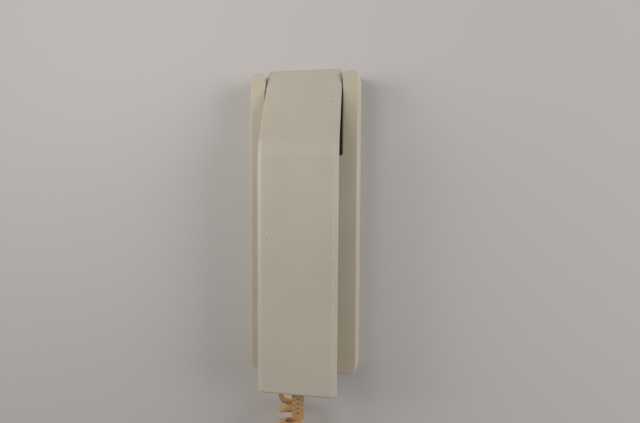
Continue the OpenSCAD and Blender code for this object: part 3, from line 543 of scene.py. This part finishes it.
class Surface:
    """A node material under construction."""

    def __init__(self, name):
        self.material = bpy.data.materials.new(name)
        self.material.use_nodes = True
        self.tree = self.material.node_tree
        self.shader = next(n for n in self.tree.nodes if n.type == "BSDF_PRINCIPLED")
        self.place = self.tree.nodes.new("ShaderNodeTexCoord").outputs["Object"]

    def node(self, kind, **links):
        made = self.tree.nodes.new(kind)
        for socket, source in links.items():
            self.tree.links.new(source, made.inputs[socket])
        return made

    def noise(self, scale, detail=3.0, rough=0.5, stretch=None):
        vector = self.place
        if stretch:
            mapping = self.node("ShaderNodeMapping", Vector=vector)
            mapping.inputs["Scale"].default_value = stretch
            vector = mapping.outputs["Vector"]
        tex = self.node("ShaderNodeTexNoise", Vector=vector)
        tex.inputs["Scale"].default_value = scale
        tex.inputs["Detail"].default_value = detail
        tex.inputs["Roughness"].default_value = rough
        return tex.outputs["Fac"]

    def ramp(self, source, stops):
        made = self.node("ShaderNodeValToRGB", Fac=source)
        elements = made.color_ramp.elements
        while len(elements) < len(stops):
            elements.new(0.5)
        for element, (place, colour) in zip(elements, stops):
            element.position = place
            element.color = colour if hasattr(colour, "__len__") else (colour, colour, colour, 1)
        return made.outputs["Color"]

    def mix(self, share, below, above, kind="MIX"):
        """above over below. share is a socket or a number, above a socket or a colour."""
        made = self.tree.nodes.new("ShaderNodeMix")
        made.data_type = "RGBA"
        made.blend_type = kind
        share_in, below_in, above_in = made.inputs[0], made.inputs[6], made.inputs[7]
        for socket, value in ((share_in, share), (below_in, below), (above_in, above)):
            if isinstance(value, bpy.types.NodeSocket):
                self.tree.links.new(value, socket)
            else:
                socket.default_value = value
        return made.outputs[2]

    def times(self, a, b):
        made = self.tree.nodes.new("ShaderNodeMath")
        made.operation = "MULTIPLY"
        self.tree.links.new(a, made.inputs[0])
        if isinstance(b, bpy.types.NodeSocket):
            self.tree.links.new(b, made.inputs[1])
        else:
            made.inputs[1].default_value = b
        return made.outputs[0]

    def attribute(self, name):
        made = self.tree.nodes.new("ShaderNodeAttribute")
        made.attribute_name = name
        return made.outputs["Fac"]

    def spot(self, centre_mm, size_mm):
        """1 close to a point on the surface, 0 away from it."""
        away = self.node("ShaderNodeVectorMath")
        away.operation = "DISTANCE"
        self.tree.links.new(self.place, away.inputs[0])
        away.inputs[1].default_value = [c / 1000 for c in centre_mm]
        near = self.tree.nodes.new("ShaderNodeMapRange")
        near.inputs["From Min"].default_value = size_mm / 1000 * 0.6
        near.inputs["From Max"].default_value = size_mm / 1000 * 1.3
        near.inputs["To Min"].default_value = 1.0
        near.inputs["To Max"].default_value = 0.0
        self.tree.links.new(away.outputs["Value"], near.inputs["Value"])
        return near.outputs["Result"]

    def bump(self, source, strength, distance, below=None):
        made = self.node("ShaderNodeBump", Height=source)
        made.inputs["Strength"].default_value = strength
        made.inputs["Distance"].default_value = distance
        if below:
            self.tree.links.new(below, made.inputs["Normal"])
        return made.outputs["Normal"]

    def finish(self, colour, rough, normal, metallic=0.0, specular=0.5):
        self.tree.links.new(colour, self.shader.inputs["Base Color"])
        self.tree.links.new(rough, self.shader.inputs["Roughness"])
        self.tree.links.new(normal, self.shader.inputs["Normal"])
        self.shader.inputs["Metallic"].default_value = metallic
        self.shader.inputs["Specular IOR Level"].default_value = specular
        return self.material


def moulded(name, dark, light, worn=None, rough=(0.38, 0.5), grain=2600, depth=0.00003,
            blotch=22, spots=()):
    """Moulded plastic: slow colour drift, fine mottle, grain, uneven sheen and rubbed edges."""
    s = Surface(name)
    colour = s.ramp(s.noise(blotch, 3), [(0.32, linear(dark)), (0.68, linear(light))])
    mottle = s.ramp(s.noise(blotch * 26, 4, 0.7), [(0.3, 0.955), (0.7, 1.0)])
    colour = s.mix(1.0, colour, mottle, "MULTIPLY")
    dust = s.ramp(s.noise(1300, 1), [(0.715, 0.0), (0.74, 1.0)])
    colour = s.mix(s.times(dust, 0.35), colour, linear([c * 0.72 for c in dark]))
    patches = s.ramp(s.noise(210, 4, 0.7), [(0.4, 0.15), (0.62, 0.9)])
    rubbed = s.times(s.attribute("edge"), patches)
    colour = s.mix(rubbed, colour, linear(worn or [min(255, c * 1.07 + 4) for c in light]))
    # Spots: specks, and on the handset one painted highlight.
    for centre, size, shade in spots:
        colour = s.mix(s.spot(centre, size), colour, linear(shade))
    scuffs = s.noise(90, 5, 0.75, (1, 1, 7))
    normal = s.bump(scuffs, 0.25, 0.00002)
    normal = s.bump(s.noise(grain, 2), 0.5, depth, normal)
    sheen = s.ramp(s.noise(blotch * 4, 4), [(0.3, rough[0]), (0.7, rough[1])])
    sheen = s.mix(s.times(rubbed, 0.6), sheen, (rough[0] * 0.8,) * 3 + (1,))
    return s.finish(colour, sheen, normal, specular=0.4)


def metal(name, colour, rough=(0.25, 0.4), stretch=(1, 1, 1), scale=900, dull=None):
    """Plated or drawn metal: fine drawn lines, dull patches and brighter edges."""
    s = Surface(name)
    lines = s.noise(scale, 4, 0.6, stretch)
    patch = s.noise(60, 4, 0.65)
    base = s.ramp(lines, [(0.3, linear([c * 0.88 for c in colour])), (0.7, linear(colour))])
    tired = s.ramp(patch, [(0.48, 0.0), (0.7, 0.55)])
    base = s.mix(tired, base, linear(dull or [c * 0.74 for c in colour]))
    bright = s.times(s.attribute("edge"), s.ramp(s.noise(300, 3), [(0.35, 0.2), (0.6, 0.9)]))
    base = s.mix(bright, base, linear([min(255, c * 1.15 + 8) for c in colour]))
    shine = s.ramp(s.noise(scale * 0.7, 3, 0.6, stretch), [(0.3, rough[1]), (0.7, rough[0])])
    shine = s.mix(s.times(tired, 0.5), shine, (min(0.9, rough[1] * 1.5),) * 3 + (1,))
    return s.finish(base, shine, s.bump(lines, 0.4, 0.00002), metallic=1.0)


# The colour of the painted shade in the sleeve's hollows.
PAINTED_PIT_SHADE_COLOUR = (122, 90, 58)


def cord_plastic(name, dark, light, paint_pit_shade=False):
    """Soft PVC gone brown with age: darker on worn patches, a satin skin and fine flow lines."""
    s = Surface(name)
    colour = s.ramp(s.noise(45, 4, 0.6), [(0.3, linear(dark)), (0.7, linear(light))])
    grime = s.ramp(s.noise(700, 4, 0.7), [(0.45, 0.0), (0.75, 0.35)])
    colour = s.mix(grime, colour, linear([c * 0.7 for c in dark]))
    # Painted shade in the sleeve's hollows.
    if paint_pit_shade:
        colour = s.mix(s.attribute("painted_pit_shade"), colour, linear(PAINTED_PIT_SHADE_COLOUR))
    normal = s.bump(s.noise(1900, 3), 0.45, 0.00004)
    sheen = s.ramp(s.noise(160, 3), [(0.3, 0.36), (0.7, 0.52)])
    return s.finish(colour, sheen, normal, specular=0.45)


# Specks, and one painted highlight on the left band at the bend: the place in mm, the size in mm
# and the colour.
HANDSET_SPECKS_AND_HIGHLIGHT = [
    ((21.1, -27, 83.0), 0.42, (62, 52, 40)), ((28.8, -21, 64.7), 0.38, (70, 58, 46)),
    ((31.7, -21, 57.5), 0.32, (84, 70, 56)), ((-20.6, -39.5, -9.4), 0.35, (90, 76, 60)),
    # The last entry, pale cream, is a painted highlight.
    ((-21, -39.5, -109.2), 0.35, (80, 66, 52)), ((-26.2, -38.5, 47.4), 0.5, (222, 208, 178)),
]

MATERIALS = {
    "ivory_abs": moulded("ivory_abs", (178, 171, 157), (183, 177, 163), spots=HANDSET_SPECKS_AND_HIGHLIGHT),
    "cover_abs": moulded("cover_abs", (162, 154, 134), (170, 163, 144), rough=(0.5, 0.62)),
    "lever_abs": moulded("lever_abs", (174, 166, 146), (181, 174, 156)),
    "zinc_plate": metal("zinc_plate", (188, 190, 188), stretch=(1, 1, 0.2), scale=400,
                        dull=(150, 148, 138)),
    "screw_steel": metal("screw_steel", (196, 197, 198), scale=1500),
    "spring_wire": metal("spring_wire", (150, 152, 156), scale=1500),
    "black_rubber": moulded("black_rubber", (26, 26, 26), (34, 33, 32), (58, 56, 53),
                            rough=(0.7, 0.85)),
    "board_laminate": moulded("board_laminate", (150, 112, 58), (166, 126, 68), (190, 156, 100),
                              rough=(0.45, 0.6), blotch=60),
    "black_plastic": moulded("black_plastic", (24, 24, 26), (34, 34, 36), (60, 60, 62),
                             rough=(0.35, 0.5)),
    "core_steel": metal("core_steel", (96, 92, 88), rough=(0.45, 0.6), stretch=(1, 8, 1),
                        scale=500, dull=(84, 66, 52)),
    "capacitor_can": moulded("capacitor_can", (28, 40, 76), (36, 50, 92), (96, 108, 140),
                             rough=(0.25, 0.4)),
    "trimmer_plastic": moulded("trimmer_plastic", (216, 214, 206), (228, 226, 220)),
    "cone_paper": moulded("cone_paper", (30, 28, 26), (46, 43, 40), (64, 60, 54),
                          rough=(0.85, 0.95), grain=900, depth=0.0001),
    "magnet_ferrite": moulded("magnet_ferrite", (44, 44, 47), (58, 58, 61), (84, 84, 86),
                              rough=(0.55, 0.7)),
    "wire_pvc": moulded("wire_pvc", (150, 40, 34), (170, 50, 42), rough=(0.35, 0.45)),
    "cord_pvc": cord_plastic("cord_pvc", (164, 124, 76), (184, 144, 94)),
    "capsule_can": metal("capsule_can", (200, 201, 203), rough=(0.18, 0.3)),
    "cast_weight": moulded("cast_weight", (84, 84, 86), (104, 104, 106), (150, 150, 150),
                           rough=(0.6, 0.8), grain=700, depth=0.0002),
    "button_plastic": moulded("button_plastic", (176, 48, 38), (190, 58, 46)),
}
BASE_SPOTS = [((-38, -14, 47), 0.5, (214, 200, 172))]
# The base's ivory is a yellower, slightly darker copy of the handset's. It stands in for painted
# warm light and shade on the strips beside the handset.
BASE_IVORY_PAINTED_SHADE = moulded("ivory_abs_base_painted_shade", (178, 167, 146), (185, 176, 156), spots=BASE_SPOTS)
# The sleeve's PVC, with painted shade in its hollows.
RELIEF_PVC = cord_plastic("cord_pvc_relief", (160, 122, 75), (180, 142, 93), paint_pit_shade=True)


def paint(obj, material):
    if obj.data.materials:
        for i in range(len(obj.data.materials)):
            obj.data.materials[i] = material
    else:
        obj.data.materials.append(material)


for part in frame["record"]["subparts"]:
    name = part["node"]
    finish = BASE_IVORY_PAINTED_SHADE if name == "base_housing" else MATERIALS[part["material_slot"]]
    paint(NODES[name], finish)
    if name in FINISHED:
        paint(FINISHED[name], finish)
paint(CORD, MATERIALS["cord_pvc"])
paint(RELIEF, RELIEF_PVC)


# ---- Backdrop and light ----

WALL_SIZE = 2.0
WALL_PLACE = (0, 0.0004, 0.5)
WALL_COLOUR = (190, 186, 184)


def add_wall():
    """A pale wall behind the base unit, seen from the front only."""
    upright = Matrix.Rotation(math.radians(90), 3, "X")
    bm = bmesh.new()
    bmesh.ops.create_grid(bm, x_segments=1, y_segments=1, size=WALL_SIZE)
    bmesh.ops.rotate(bm, verts=bm.verts, cent=(0, 0, 0), matrix=upright)
    bmesh.ops.translate(bm, verts=bm.verts, vec=WALL_PLACE)
    mesh = bpy.data.meshes.new("stage_wall")
    bm.to_mesh(mesh)
    bm.free()
    wall = link_new("stage_wall", mesh)
    s = Surface("stage_wall")
    s.shader.inputs["Roughness"].default_value = 0.9
    s.shader.inputs["Base Color"].default_value = linear(WALL_COLOUR)
    mixed = s.tree.nodes.new("ShaderNodeMixShader")
    s.tree.links.new(s.node("ShaderNodeNewGeometry").outputs["Backfacing"], mixed.inputs["Fac"])
    s.tree.links.new(s.shader.outputs["BSDF"], mixed.inputs[1])
    s.tree.links.new(s.node("ShaderNodeBsdfTransparent").outputs["BSDF"], mixed.inputs[2])
    out = next(n for n in s.tree.nodes if n.type == "OUTPUT_MATERIAL")
    s.tree.links.new(mixed.outputs["Shader"], out.inputs["Surface"])
    paint(wall, s.material)
    wall.visible_shadow = False


def area_light(name, place, aim, size, power, colour=(1, 1, 1), spread=180):
    data = bpy.data.lights.new(name, "AREA")
    data.shape = "DISK"
    data.size = size
    data.energy = power
    data.color = colour
    data.spread = math.radians(spread)
    lamp = link_new(name, data)
    lamp.location = place
    lamp.rotation_euler = (Vector(aim) - Vector(place)).to_track_quat("-Z", "Y").to_euler()


SOFT_STRENGTH = 0.25
PALE_STRENGTH = 0.75
PALE_COLOUR = (0.93, 0.93, 0.92, 1)


def add_world():
    """A soft even light, and a paler surround where the camera or a reflection sees it."""
    world = bpy.data.worlds.new("world")
    SCENE.world = world
    world.use_nodes = True
    tree = world.node_tree
    soft = next(n for n in tree.nodes if n.type == "BACKGROUND")
    soft.inputs["Color"].default_value = (1, 1, 1, 1)
    soft.inputs["Strength"].default_value = SOFT_STRENGTH
    pale = tree.nodes.new("ShaderNodeBackground")
    pale.inputs["Color"].default_value = PALE_COLOUR
    pale.inputs["Strength"].default_value = PALE_STRENGTH
    rays = tree.nodes.new("ShaderNodeLightPath")
    either = tree.nodes.new("ShaderNodeMath")
    either.operation = "MAXIMUM"
    tree.links.new(rays.outputs["Is Camera Ray"], either.inputs[0])
    tree.links.new(rays.outputs["Is Glossy Ray"], either.inputs[1])
    mixed = tree.nodes.new("ShaderNodeMixShader")
    tree.links.new(either.outputs[0], mixed.inputs["Fac"])
    tree.links.new(soft.outputs["Background"], mixed.inputs[1])
    tree.links.new(pale.outputs["Background"], mixed.inputs[2])
    out = next(n for n in tree.nodes if n.type == "OUTPUT_WORLD")
    tree.links.new(mixed.outputs["Shader"], out.inputs["Surface"])


add_wall()
area_light("key", (-0.25, -0.45, 0.22), (0, 0, 0.15), 0.35, 0.24, (1.0, 0.985, 0.96), 92)
area_light("left_side", (-1.0, -0.45, 0.20), (0, 0, 0), 0.7, 6.3, (1.0, 0.95, 0.88))
area_light("right_side", (1.0, -0.45, 0.20), (0, 0, 0), 0.7, 7.8, (0.97, 0.98, 1.0))
area_light("rear", (0.1, 0.9, 0.5), (0, 0, 0), 0.8, 6.0)
add_world()
SCENE.view_settings.view_transform = "Standard"
